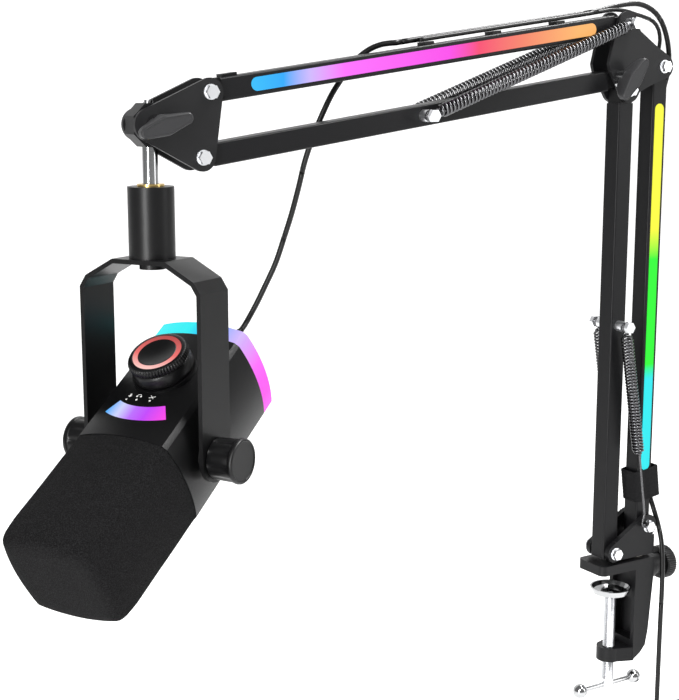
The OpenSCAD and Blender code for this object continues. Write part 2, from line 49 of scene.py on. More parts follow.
# Pivots of the arm in the X-Z plane, in millimetres
B1, B2 = (-8.8, 17.0), (26.0, 35.0)
P1, P2 = (-13.0, 438.5), (-19.0, 397.0)
FALL = math.radians(8.2)
H2 = (P2[0] - 358 * math.cos(FALL), P2[1] - 358 * math.sin(FALL))
J = (H2[0] - 32.2, H2[1] + 20.9)
S1 = (P2[0] - 182 * math.cos(FALL), P2[1] - 182 * math.sin(FALL))
S2 = (B1[0], B1[1] + 187.7)
A2 = (B2[0] - 5.5, B2[1] + 4)

# Frames of the yoke and the microphone, in metres
YOKE_TURN, MIC_TILT = math.radians(-59.6), math.radians(31.2)
TILT_AXIS = Matrix.Translation((0, 0, 0.1553))
DIAL_Y = 0.0356
YOKE = Matrix.Translation((J[0] * MM, 0, 0)) @ Matrix.Rotation(YOKE_TURN, 4, "Z")
MIC = YOKE @ TILT_AXIS @ Matrix.Rotation(MIC_TILT, 4, "X")
VIEW_YAW, VIEW_PITCH = math.radians(31.5), math.radians(10.4)


# ---- camera ----

def make_camera():
    data = bpy.data.cameras.new("camera")
    cam = bpy.data.objects.new("camera", data)
    bpy.context.scene.collection.objects.link(cam)
    data.sensor_width = 36
    data.lens = 72
    data.clip_start, data.clip_end = 0.01, 50
    cam.location = (-0.77175, -0.82810, 0.38666)
    yaw, pitch = VIEW_YAW, VIEW_PITCH
    level = math.cos(pitch)
    ahead = Vector((math.sin(yaw) * level, math.cos(yaw) * level, -math.sin(pitch)))
    cam.rotation_mode = "QUATERNION"
    cam.rotation_quaternion = ahead.to_track_quat("-Z", "Y")
    bpy.context.scene.camera = cam


# ---- materials ----

def shader(name):
    mat = bpy.data.materials.new(name)
    mat.use_nodes = True
    nt = mat.node_tree
    return mat, nt, nt.nodes["Principled BSDF"]


def noise_bump(nt, bsdf, scale, strength, distance, detail=2.0):
    tex = nt.nodes.new("ShaderNodeTexCoord")
    noise = nt.nodes.new("ShaderNodeTexNoise")
    noise.inputs["Scale"].default_value = scale
    noise.inputs["Detail"].default_value = detail
    bump = nt.nodes.new("ShaderNodeBump")
    bump.inputs["Strength"].default_value = strength
    bump.inputs["Distance"].default_value = distance
    nt.links.new(tex.outputs["Object"], noise.inputs["Vector"])
    nt.links.new(noise.outputs["Fac"], bump.inputs["Height"])
    nt.links.new(bump.outputs["Normal"], bsdf.inputs["Normal"])
    return noise


def plain(name, color, rough, metal=0.0, bump=None, spec=0.5, vary=0.0):
    """A plain finish with a fine noise bump of (scale, strength, distance).

    vary is how far the same noise moves the roughness either way.
    """
    mat, nt, bsdf = shader(name)
    bsdf.inputs["Base Color"].default_value = (*color, 1)
    bsdf.inputs["Roughness"].default_value = rough
    bsdf.inputs["Metallic"].default_value = metal
    bsdf.inputs["Specular IOR Level"].default_value = spec
    if bump:
        noise = noise_bump(nt, bsdf, *bump)
        if vary:
            ramp = nt.nodes.new("ShaderNodeMapRange")
            ramp.inputs["To Min"].default_value = rough - vary
            ramp.inputs["To Max"].default_value = rough + vary
            nt.links.new(noise.outputs["Fac"], ramp.inputs["Value"])
            nt.links.new(ramp.outputs["Result"], bsdf.inputs["Roughness"])
    return mat


def glow(name, stops, axis=(1, 0, 0), origin=(0, 0, 0), around=None, strength=1.0):
    """A lit diffuser. Its colour runs along axis from origin, in the row frame.

    stops are (position in metres, colour). With around = (u, v) they are (angle in turns, colour).
    """
    mat, nt, bsdf = shader(name)
    tex = nt.nodes.new("ShaderNodeTexCoord")
    sub = nt.nodes.new("ShaderNodeVectorMath")
    sub.operation = "SUBTRACT"
    sub.inputs[1].default_value = origin
    nt.links.new(tex.outputs["Object"], sub.inputs[0])

    def along(vec):
        node = nt.nodes.new("ShaderNodeVectorMath")
        node.operation = "DOT_PRODUCT"
        node.inputs[1].default_value = vec
        nt.links.new(sub.outputs["Vector"], node.inputs[0])
        return node.outputs["Value"]

    first, last = stops[0][0], stops[-1][0]
    span = nt.nodes.new("ShaderNodeMapRange")
    if around:
        turn = nt.nodes.new("ShaderNodeMath")
        turn.operation = "ARCTAN2"
        nt.links.new(along(around[1]), turn.inputs[0])
        nt.links.new(along(around[0]), turn.inputs[1])
        nt.links.new(turn.outputs["Value"], span.inputs["Value"])
        span.inputs["From Min"].default_value = first * 2 * math.pi
        span.inputs["From Max"].default_value = last * 2 * math.pi
    else:
        nt.links.new(along(axis), span.inputs["Value"])
        span.inputs["From Min"].default_value = first
        span.inputs["From Max"].default_value = last
    ramp = nt.nodes.new("ShaderNodeValToRGB")
    marks = ramp.color_ramp.elements
    for i, (at, col) in enumerate(stops):
        place = (at - first) / (last - first)
        mark = marks[i] if i < 2 else marks.new(place)
        mark.position = place
        mark.color = (*col, 1)
    nt.links.new(span.outputs["Result"], ramp.inputs["Fac"])
    nt.links.new(ramp.outputs["Color"], bsdf.inputs["Emission Color"])
    bsdf.inputs["Base Color"].default_value = (0.01, 0.01, 0.01, 1)
    bsdf.inputs["Specular IOR Level"].default_value = 0.08
    bsdf.inputs["Emission Strength"].default_value = strength
    bsdf.inputs["Roughness"].default_value = 0.25
    return mat


def speckled(name, dark, light, rough, scale, depth):
    """Open-cell foam: a cell pattern in colour and bump."""
    mat, nt, bsdf = shader(name)
    tex = nt.nodes.new("ShaderNodeTexCoord")
    cells = nt.nodes.new("ShaderNodeTexVoronoi")
    cells.inputs["Scale"].default_value = scale
    noise = nt.nodes.new("ShaderNodeTexNoise")
    noise.inputs["Scale"].default_value = scale * 1.6
    noise.inputs["Detail"].default_value = 4
    for node in (cells, noise):
        nt.links.new(tex.outputs["Object"], node.inputs["Vector"])
    mix = nt.nodes.new("ShaderNodeMath")
    mix.operation = "MULTIPLY_ADD"
    mix.inputs[1].default_value = 0.6
    nt.links.new(cells.outputs["Distance"], mix.inputs[0])
    nt.links.new(noise.outputs["Fac"], mix.inputs[2])
    ramp = nt.nodes.new("ShaderNodeValToRGB")
    ramp.color_ramp.elements[0].position, ramp.color_ramp.elements[1].position = 0.60, 1.0
    ramp.color_ramp.elements[0].color, ramp.color_ramp.elements[1].color = (*dark, 1), (*light, 1)
    bump = nt.nodes.new("ShaderNodeBump")
    bump.inputs["Strength"].default_value = 0.9
    bump.inputs["Distance"].default_value = depth
    nt.links.new(mix.outputs["Value"], ramp.inputs["Fac"])
    nt.links.new(ramp.outputs["Color"], bsdf.inputs["Base Color"])
    nt.links.new(mix.outputs["Value"], bump.inputs["Height"])
    nt.links.new(bump.outputs["Normal"], bsdf.inputs["Normal"])
    bsdf.inputs["Roughness"].default_value = rough
    bsdf.inputs["Specular IOR Level"].default_value = 0.08
    return mat


CYAN, BLUE, SKY = (0.02, 0.85, 0.90), (0.02, 0.40, 0.98), (0.03, 0.52, 0.97)
LILAC, PINK, MAGENTA = (0.62, 0.48, 1.0), (0.98, 0.16, 1.0), (0.95, 0.06, 0.82)
GREEN, YELLOW, ORANGE = (0.02, 0.97, 0.03), (0.98, 0.99, 0.04), (0.98, 0.47, 0.14)
RED, SALMON = (0.93, 0.06, 0.16), (0.90, 0.22, 0.13)
MIC_X, MIC_Y, MIC_Z = (tuple(MIC.to_3x3() @ Vector(v)) for v in ((1, 0, 0), (0, 1, 0), (0, 0, 1)))

MAT = {
    "tube": plain("tube", (0.0045, 0.0045, 0.005), 0.38, bump=(1400, 0.06, 0.0004),
                  spec=0.16, vary=0.05),
    "cast": plain("cast", (0.005, 0.005, 0.0055), 0.40, bump=(1600, 0.12, 0.0005),
                  spec=0.18, vary=0.05),
    "plate": plain("plate", (0.009, 0.009, 0.0095), 0.42, bump=(1800, 0.08, 0.0004),
                   spec=0.18, vary=0.05),
    "mic": plain("mic", (0.002, 0.002, 0.0022), 0.36, bump=(2600, 0.16, 0.0003),
                 spec=0.22, vary=0.06),
    "chrome": plain("chrome", (0.42, 0.425, 0.43), 0.14, metal=1.0, bump=(900, 0.03, 0.0003)),
    "steel": plain("steel", (0.82, 0.83, 0.85), 0.34, metal=1.0, bump=(1500, 0.08, 0.0003)),
    "brass": plain("brass", (0.72, 0.52, 0.2), 0.25, metal=1.0, bump=(1200, 0.06, 0.0003)),
    "spring": plain("spring", (0.10, 0.10, 0.104), 0.24, metal=1.0, bump=(2500, 0.05, 0.0003)),
    "plastic": plain("plastic", (0.003, 0.003, 0.0032), 0.34, bump=(3000, 0.10, 0.0003), spec=0.22,
                     vary=0.05),
    "lever": plain("lever", (0.022, 0.022, 0.023), 0.45, bump=(2600, 0.10, 0.0003),
                   spec=0.2, vary=0.04),
    "cable": plain("cable", (0.002, 0.002, 0.002), 0.34, bump=(2000, 0.08, 0.0003), spec=0.25),
    "nylon": plain("nylon", (0.75, 0.73, 0.66), 0.5, bump=(1500, 0.08, 0.0003)),
    "board": plain("board", (0.03, 0.16, 0.08), 0.4, bump=(1500, 0.10, 0.0003)),
    "strap": plain("strap", (0.006, 0.006, 0.0065), 0.8, bump=(900, 0.5, 0.0008), spec=0.12),
    "icon": plain("icon", (0.72, 0.72, 0.70), 0.5, bump=(3000, 0.05, 0.0002)),
    "foam": speckled("foam", (0.0002, 0.0002, 0.0002), (0.012, 0.012, 0.0125), 0.95, 1500, 0.0006),
    "upper_glow": glow("upper_glow", [(-0.336, SKY), (-0.312, BLUE), (-0.292, LILAC), (-0.265, PINK),
                                      (-0.178, MAGENTA), (-0.152, RED), (-0.112, SALMON),
                                      (-0.06, ORANGE)]),
    "lower_glow": glow("lower_glow", [(0.080, CYAN), (0.158, CYAN), (0.170, GREEN), (0.256, GREEN),
                                      (0.280, YELLOW), (0.380, YELLOW)], axis=(0, 0, 1)),
    "ring_glow": glow("ring_glow", [(-0.5, BLUE), (-0.25, MAGENTA), (-0.06, MAGENTA), (0.04, PINK),
                                    (0.13, LILAC), (0.20, BLUE), (0.27, CYAN), (0.40, CYAN),
                                    (0.5, BLUE)],
                      origin=tuple(MIC @ Vector((0, 0, 0))), around=(MIC_X, MIC_Z)),
    "mute_glow": glow("mute_glow", [(-0.024, BLUE), (-0.012, (0.62, 0.66, 1.0)),
                                    (-0.001, (0.50, 0.16, 0.98)),
                                    (0.009, (0.54, 0.06, 0.96)), (0.022, MAGENTA)],
                      axis=MIC_X, origin=tuple(MIC @ Vector((0, 0, 0)))),
    "dial_glow": glow("dial_glow", [(-0.017, (0.42, 0.05, 0.05)), (0.002, (0.85, 0.16, 0.15)),
                                    (0.017, (1.0, 0.62, 0.58))], axis=tuple(-c for c in MIC_Y),
                      origin=tuple(MIC @ Vector((0, DIAL_Y, 0)))),
}

CAD_FINISH = {
    "clamp_frame": ("cast", 0.8), "clamp_pad": ("chrome", 0.2), "clamp_screw": ("steel", 0),
    "t_bar": ("chrome", 0), "lock_knob": ("plastic", 0.4), "swivel_washer": ("nylon", 0),
    "swivel_pin": ("steel", 0.2), "base_bracket": ("cast", 0.5), "base_fasteners": ("steel", 0.35),
    "lower_front_tube": ("tube", 0), "lower_front_plugs": ("plastic", 0.3),
    "lower_spring_bolt": ("steel", 0.3), "lower_rear_tube": ("tube", 0),
    "lower_rear_plugs": ("plastic", 0.3), "cable_strap": ("strap", 0.4),
    "knee_plate_front": ("plate", 0.5), "knee_plate_back": ("plate", 0.5),
    "knee_fasteners": ("steel", 0.35), "knee_lever": ("lever", 0.8), "upper_top_tube": ("tube", 0),
    "upper_top_plugs": ("plastic", 0.3), "cable_clips": ("plastic", 0.3),
    "upper_bottom_tube": ("tube", 0), "upper_bottom_plugs": ("plastic", 0.3),
    "upper_spring_bolt": ("steel", 0.3), "head_plate_front": ("plate", 0.5),
    "head_plate_back": ("plate", 0.5), "head_fasteners": ("steel", 0.35), "head_lever": ("lever", 0.8),
    "pivot_block": ("cast", 0.6), "stud": ("chrome", 0.2), "thread_insert": ("brass", 0.2),
    "adapter_sleeve": ("mic", 0.6), "yoke_strap": ("mic", 0.5), "yoke_knob_left": ("plastic", 0.6),
    "yoke_knob_right": ("plastic", 0.6), "mic_body": ("mic", 0.3), "rear_panel": ("plastic", 0.2),
    "gain_knob": ("plastic", 0.5), "grille": ("steel", 0), "capsule": ("steel", 0.3),
    "main_board": ("board", 0), "windscreen": ("foam", 0), "light_button": ("plastic", 0.2),
    "mic_plug": ("plastic", 0.5), "usb_plug": ("plastic", 0.4),
    "cable_span": ("cable", 0), "cable_arm_run": ("cable", 0), "cable_knee_loop": ("cable", 0),
    "cable_lower_run": ("cable", 0), "cable_drop": ("cable", 0), "cable_coil": ("cable", 0),
    "light_jumper": ("cable", 0), "lower_springs": ("spring", 0), "upper_springs": ("spring", 0),
    "upper_light_bar": ("upper_glow", 0.6), "lower_light_bar": ("lower_glow", 0.6),
    "light_ring": ("ring_glow", 0.8), "mute_strip": ("mute_glow", 0),
    "gain_knob_ring": ("dial_glow", 0.3),
}


def smooth(obj, angle=32.0):
    """Rounds the shading of obj except across its sharp edges."""
    mesh = obj.data
    mesh.polygons.foreach_set("use_smooth", [True] * len(mesh.polygons))
    bm = bmesh.new()
    bm.from_mesh(mesh)
    limit = math.radians(angle)
    for e in bm.edges:
        e.smooth = len(e.link_faces) == 2 and e.calc_face_angle(0.0) < limit
    bm.to_mesh(mesh)
    bm.free()


def finish_node(name, mat, bevel):
    obj = NODES[name]
    obj.data.materials.clear()
    obj.data.materials.append(MAT[mat])
    if bevel:
        flat = obj.modifiers.new("flat", "DECIMATE")
        flat.decimate_type = "DISSOLVE"
        flat.angle_limit = math.radians(0.4)
        edge = obj.modifiers.new("edge", "BEVEL")
        edge.width = bevel * MM
        edge.segments = 2
        edge.limit_method = "ANGLE"
        edge.angle_limit = math.radians(40)
        edge.harden_normals = True


make_camera()
for node, (mat, bevel) in CAD_FINISH.items():
    finish_node(node, mat, bevel)


# ---- new pieces ----

def add_object(name, mesh, mat, body, stands_for=()):
    obj = bpy.data.objects.new(name, mesh)
    bpy.context.scene.collection.objects.link(obj)
    if mat:
        mesh.materials.append(MAT[mat] if isinstance(mat, str) else mat)
    if body:
        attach(obj, body)
    if stands_for:
        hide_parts(*stands_for)
    return obj


def mesh_of(name, verts, faces):
    mesh = bpy.data.meshes.new(name)
    mesh.from_pydata([tuple(v) for v in verts], [], faces)
    mesh.validate()
    return mesh


def loft(name, rings):
    """A closed mesh through rings, each a list of the same number of points."""
    n = len(rings[0])
    verts = [p for ring in rings for p in ring]
    faces = []
    for i in range(len(rings) - 1):
        for k in range(n):
            a, b = i * n + k, i * n + (k + 1) % n
            faces.append((a, b, b + n, a + n))
    faces.append(tuple(range(n - 1, -1, -1)))
    faces.append(tuple((len(rings) - 1) * n + k for k in range(n)))
    return mesh_of(name, verts, faces)


def spline(points, step):
    """Points along a smooth curve through the given ones, about step apart."""
    p = [np.array(q, float) for q in points]
    p = [2 * p[0] - p[1]] + p + [2 * p[-1] - p[-2]]
    out = []
    for i in range(1, len(p) - 2):
        p0, p1, p2, p3 = p[i - 1:i + 3]
        d0, d1, d2 = (max(1e-6, np.linalg.norm(b - a) ** 0.5)
                      for a, b in ((p0, p1), (p1, p2), (p2, p3)))
        m1 = (p1 - p0) / d0 - (p2 - p0) / (d0 + d1) + (p2 - p1) / d1
        m2 = (p2 - p1) / d1 - (p3 - p1) / (d1 + d2) + (p3 - p2) / d2
        m1, m2 = m1 * d1, m2 * d1
        n = max(1, int(round(np.linalg.norm(p2 - p1) / step)))
        for t in np.arange(n) / n:
            out.append((2 * t**3 - 3 * t**2 + 1) * p1 + (t**3 - 2 * t**2 + t) * m1
                       + (3 * t**2 - 2 * t**3) * p2 + (t**3 - t**2) * m2)
    out.append(p[-2])
    return out


def sweep(name, path, radius, sides):
    """A closed round rod along path."""
    path = [Vector(q) for q in path]
    n = len(path)
    tangents = [(path[min(i + 1, n - 1)] - path[max(i - 1, 0)]).normalized() for i in range(n)]
    u = tangents[0].orthogonal().normalized()
    rings = []
    for c, t in zip(path, tangents):
        u = (u - t * u.dot(t)).normalized()
        v = t.cross(u)
        rings.append([c + radius * (math.cos(a) * u + math.sin(a) * v)
                      for a in (2 * math.pi * k / sides for k in range(sides))])
    return loft(name, rings)


def revolve(name, profile, matrix, sides=96, wave=None):
    """A turned piece about matrix's Z, from (radius, height) points in millimetres.

    wave(i, angle) scales the radius of ring i.
    """
    rings = []
    for i, (r, h) in enumerate(profile):
        ring = []
        for k in range(sides):
            a = 2 * math.pi * k / sides
            q = r * (wave(i, a) if wave else 1.0)
            ring.append(matrix @ Vector((q * math.cos(a) * MM, q * math.sin(a) * MM, h * MM)))
        rings.append(ring)
    return loft(name, rings)


def arm_matrix(p, q, y=0.0):
    """Local X from pivot p to pivot q, local Y the same as the row's."""
    d = Vector((q[0] - p[0], 0, q[1] - p[1])).normalized()
    m = Matrix((d, Vector((0, 1, 0)), d.cross(Vector((0, 1, 0))))).transposed().to_4x4()
    return Matrix.Translation(Vector((p[0], y, p[1])) * MM) @ m


# ---- springs ----

SPRING_R, HOOK_R, PER_TURN = 5.0, 3.4, 14


def make_spring(name, p, q, y, s0, s1, wire, pitch, stands_for):
    """A close coil from s0 to s1 on the line p to q, with a hook at each end."""
    m = arm_matrix(p, q, y)
    length = math.hypot(q[0] - p[0], q[1] - p[1])
    radius = SPRING_R - wire
    turns = round((s1 - s0) / pitch)
    pts = []

    def hook(at, sign):
        return [(at + sign * HOOK_R * math.cos(a), HOOK_R * math.sin(a))
                for a in np.linspace(-2.4, 2.2, 15)]

    for x, z in reversed(hook(0.0, -1)):
        pts.append((x, 0, z))
    for k in range(turns * PER_TURN + 1):
        f = k / (turns * PER_TURN)
        ease = min(1, f * turns / 1.2, (1 - f) * turns / 1.2)
        r = radius * (0.45 + 0.55 * ease)
        a = 2 * math.pi * k / PER_TURN
        pts.append((s0 + (s1 - s0) * f, r * math.sin(a), r * math.cos(a)))
    if length - s1 > 12:
        pts.append((s1 + 3, 0, 1.0))
        pts.append((length - 8, 0, 0))
    for x, z in hook(length, 1):
        pts.append((x, 0, z))
    path = [m @ (Vector(v) * MM) for v in pts]
    mesh = sweep(name, path, wire * MM, 7)
    mesh.polygons.foreach_set("use_smooth", [True] * len(mesh.polygons))
    obj = add_object(name, mesh, "spring", None, stands_for)
    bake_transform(obj)


for side, y in (("front", -16.2), ("back", 16.2)):
    make_spring("lower_spring_" + side, S2, A2, y, 6, 107, 0.95, 2.6,
                ("lower_springs",))
    make_spring("upper_spring_" + side, S1, P1, y, 6.5, math.dist(S1, P1) - 6.5, 1.15, 3.3,
                ("upper_springs",))


# ---- cables ----

SPAN = [(-315.5, 52.8, 218.5), (-310, 56, 222.4), (-304.5, 57.5, 229), (-300, 55.5, 238),
        (-295, 52.5, 250), (-289, 48, 266), (-285, 42, 285), (-282.5, 35, 303), (-281, 27.5, 322),
        (-280, 20.5, 340), (-276.5, 15, 357), (-271, 12, 372), (-263, 11, 387), (-253, 10.6, 400),
        (-243, 11.4, 410), (-233, 10.4, 416.8), (-224, 7.4, 420.3), (-216.5, 3.4, 421.18),
        (-211.5, 3.4, 421.9)]
ARM_RUN = [(-211.5, 3.4, 421.9), (-206.5, 3.4, 422.62), (-150, 3.4, 430.8), (-100, 3.4, 438),
           (-47, 3.4, 445.68), (-42, 3.4, 446.4)]
KNEE = [(-42, 3.4, 446.4), (-37, 3.4, 447.12), (-29, 3.2, 448.7), (-19, 3, 451.1), (-10, 2.6, 453),
        (0, 2.2, 454.3), (9, 1.8, 454.5), (18, 1.5, 452.4), (26, 1, 448.2), (32.5, 0.6, 441.5),
        (37, 0.3, 433), (40, 0, 423), (41.4, 0, 412.5), (40.2, 0, 401), (37.2, 0, 391),
        (36, 0, 384), (36, 0, 379)]
LOWER_RUN = [(36, 0, 379), (36, 0, 300), (36, 0, 200), (36, 0, 92)]
DROP = [(36, 0, 92), (36, 0, 87), (36, -0.4, 78), (36, -1.6, 67), (36.3, -4.2, 56.5), (37.6, -8, 46),
        (39.2, -12, 34), (39.8, -15.6, 22), (39.4, -18, 10), (39, -19.4, -4), (38.8, -20, -20),
        (38.6, -20, -45),
        (38.5, -20, -70), (38.5, -20, -95), (38.5, -20, -118), (38.5, -20, -130)]
JUMPER = [(-200, -1.4, 423.1), (-130, -1.4, 433.2), (-50, -1.4, 444.7), (-34, -1.5, 447.2),
          (-21, -1.8, 449), (-9, -2.4, 448.6), (2, -3, 446.2), (12, -2.8, 444.2), (21, -2.2, 441.4),
          (27.5, -1.4, 435.6), (30.2, -0.7, 427.6), (29.6, -0.2, 420), (27.5, 0, 413.2)]
COIL_AT, COIL_R = (60.5, -23.65, -151.0), 22.0


def length_of(path):
    return sum(math.dist(a, b) for a, b in zip(path, path[1:]))


def make_cable(name, path, diameter, stands_for, body=None, blend=None):
    """One stretch of cable along path, in millimetres, on one body or, when blend is given, fixed in
    place on no body.
    """
    path = [tuple(c * MM for c in q) for q in path]
    mesh = sweep(name, path, diameter * MM / 2, 12)
    mesh.polygons.foreach_set("use_smooth", [len(f.vertices) == 4 for f in mesh.polygons])
    obj = add_object(name, mesh, "cable", body, stands_for)
    if blend:
        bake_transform(obj)


def split(path, shares):
    """Cuts a path into stretches at these shares of its length."""
    total, run, out, piece = length_of(path), 0.0, [], [path[0]]
    cuts = [c * total for c in shares]
    for a, b in zip(path, path[1:]):
        run += math.dist(a, b)
        piece.append(b)
        if cuts and run >= cuts[0]:
            cuts.pop(0)
            out.append(piece)
            piece = [b]
    if len(piece) > 1:
        out.append(piece)
    return out


def coil_path():
    """Down into a round coil of six turns, and out again to the plug."""
    cx, cy, cz = COIL_AT
    around = 4.67
    pts = [(38.5, -20, z) for z in (-130, -134, -138, -142, -146)]
    for k in range(6 * 28 + 1):
        turn = k / 28
        th = math.pi + 2 * math.pi * turn
        phi = math.radians(-308.6 + 51.43 * turn)
        r = COIL_R + around * math.cos(phi)
        pts.append((cx + r * math.cos(th), cy - around * math.sin(phi), cz + r * math.sin(th)))
    x, y = pts[-1][0], pts[-1][1]
    pts += [(x, y, cz - d) for d in (4, 9, 15, 21, 27, 33, 39)]
    return pts


def make_cables():
    span = split(spline(SPAN, 4), (0.30, 0.50, 0.64))
    chain = [("microphone", "yoke"), ("yoke", "mic_mount"), ("mic_mount", "head"),
             ("head", "upper_top")]
    for i, (path, pair) in enumerate(zip(span, chain)):
        make_cable(f"cable_span_{i + 1}", path, 4.0, ("cable_span",), blend=pair)
    make_cable("cable_arm", spline(ARM_RUN, 6), 4.0, ("cable_arm_run",), body="upper_top")
    knee = split(spline(KNEE, 4), (0.5,))
    for i, (path, pair) in enumerate(zip(knee, [("upper_top", "knee"), ("knee", "lower_rear")])):
        make_cable(f"cable_knee_{i + 1}", path, 4.0, ("cable_knee_loop",), blend=pair)
    make_cable("cable_lower", spline(LOWER_RUN, 8), 4.0, ("cable_lower_run",), body="lower_rear")
    drop = split(spline(DROP, 4), (0.27, 0.55))
    for i, (path, pair) in enumerate(zip(drop, [("lower_rear", "base"), ("base", "clamp")])):
        make_cable(f"cable_drop_{i + 1}", path, 4.0, ("cable_drop",), blend=pair)
    make_cable("cable_drop_3", drop[2], 4.0, ("cable_drop",), body="clamp")
    make_cable("cable_coil_wound", coil_path(), 4.0, ("cable_coil",), body="clamp")
    jump = spline(JUMPER, 4)
    near = [i for i, q in enumerate(jump) if q[0] > -40][0]
    top = [i for i, q in enumerate(jump) if q[0] > 12][0]
    make_cable("jumper_1", jump[:near + 1], 3.0, ("light_jumper",), body="upper_top")
    make_cable("jumper_2", jump[near:top + 1], 3.0, ("light_jumper",), blend=("upper_top", "knee"))
    make_cable("jumper_3", jump[top:], 3.0, ("light_jumper",), blend=("knee", "lower_rear"))


make_cables()


# ---- microphone ----

SIDE_R, HALF_W, HALF_H, CORNER_R = 108.0, 39.3, 38.0, 46.2
FOAM_Y, FOAM_FRONT = -26.3, -119.5


def mic_ring(inset, n, lean=0.0):
    """The body's outline drawn in by inset, as n points (x, z) in millimetres."""
    ring = []
    for k in range(n):
        a = 2 * math.pi * k / n
        ux, uz = math.cos(a), math.sin(a)
        reach = CORNER_R - inset
        side_x, side_z = SIDE_R - HALF_W, SIDE_R - HALF_H
        for cx, cz in ((side_x, 0), (-side_x, 0), (0, side_z), (0, -side_z)):
            b = ux * cx + uz * cz
            reach = min(reach, b + math.sqrt(b * b - cx * cx - cz * cz + (SIDE_R - inset) ** 2))
        ring.append((reach * ux - 1.8 * lean, reach * uz + 0.4 * lean))
    return ring


def top_of_mic(x):
    return HALF_H - SIDE_R + math.sqrt(SIDE_R ** 2 - x ** 2)


def make_windscreen():
    """The foam: a soft block with a rounded front and a slightly uneven skin."""
    n = 240
    profile = [(-FOAM_Y - 0.4, 0.6), (-FOAM_Y + 0.3, 0.0)]
    profile += [(y, 0.4 * (y + FOAM_Y) / 74) for y in np.arange(-FOAM_Y + 2, 100, 1.8)]
    turn = [(0, 0.4), (5, 0.7), (9.5, 1.1), (12.5, 1.8), (14.8, 2.7), (16.6, 4.0), (17.8, 5.7),
            (18.6, 8.2), (19.0, 11), (19.2, 14)]
    profile += [(100.3 + y, inset) for y, inset in turn]
    profile += [(-FOAM_FRONT, inset) for inset in np.arange(16, 37.5, 1.9)]
    rings = []
    for depth, inset in profile:
        lean = max(0.0, min(1.0, (depth + FOAM_Y) / 92))
        ring = []
        for x, z in mic_ring(inset, n, lean):
            q = Vector((x, -depth, z))
            out = Vector((x, -20 if depth > 116 else 0, z)).normalized()
            rough = 0.05 * noise.noise(q * 1.3) + 0.25 * noise.noise(q * 0.04)
            ring.append(MIC @ ((q + out * (rough - 0.15)) * MM))
        rings.append(ring)
    mesh = loft("windscreen", rings)
    mesh.polygons.foreach_set("use_smooth", [True] * len(mesh.polygons))
    foam = add_object("windscreen_foam", mesh, "foam", "microphone", ("windscreen",))


def make_gain_knob():
    """Toothed band over a smooth skirt, with a dished top inside the glowing ring."""
    profile = [(20.2, 39.4), (20.8, 40.0), (21.0, 41.4), (20.9, 43.6), (20.5, 46.0), (20.0, 48.0),
               (19.6, 48.3), (19.7, 48.8), (20.9, 49.4), (21.0, 50.2), (20.9, 51.8), (20.2, 52.9),
               (19.3, 53.8), (18.2, 54.3), (17.0, 54.4), (16.7, 54.1), (16.7, 52.6), (13.3, 52.6),
               (13.25, 54.1), (12.9, 54.4), (12.4, 54.3), (10, 53.6), (6.5, 52.9), (3, 52.5),
               (0.6, 52.4)]
    teeth = 64

    def wave(i, a):
        lift = 0.5 + 0.5 * math.cos(teeth * a)
        return 1 - 0.036 * lift ** 0.6 if 8 <= i <= 11 else 1.0

    mesh = revolve("gain_knob", profile, MIC @ Matrix.Translation((0, DIAL_Y, 0)), teeth * 6, wave)
    knob = add_object("gain_knob_turned", mesh, "plastic", "dial", ("gain_knob",))
    smooth(knob, 40)


def make_yoke_knob(side, sign):
    """Hand knob: a plain shank, a fluted grip and a rimmed face."""
    turn = Matrix.Rotation(sign * math.pi / 2, 4, "Y")
    place = YOKE @ TILT_AXIS @ turn
    profile = [(0.5, 37), (3.9, 37.2), (3.9, 47.3), (12.6, 47.3), (13.4, 47.7), (13.8, 48.6),
               (14.0, 52), (14.1, 58), (14.2, 62.6), (14.0, 63.4), (14.2, 64.0), (14.9, 64.6),
               (15.0, 65.4),
               (14.8, 66.6), (14.2, 67.3), (13.4, 67.4), (13.0, 67.1), (12.8, 66.8), (6, 66.7),
               (0.5, 66.7)]
    flutes = 9

    def wave(i, a):
        return 1 - 0.06 * (0.5 + 0.5 * math.cos(flutes * a)) ** 2 if 5 <= i <= 8 else 1.0

    mesh = revolve("yoke_knob", profile, place, flutes * 16, wave)
    knob = add_object(f"{side}_hand_knob", mesh, "plastic", f"{side}_knob",
                      (f"yoke_knob_{side}",))
    smooth(knob, 35)


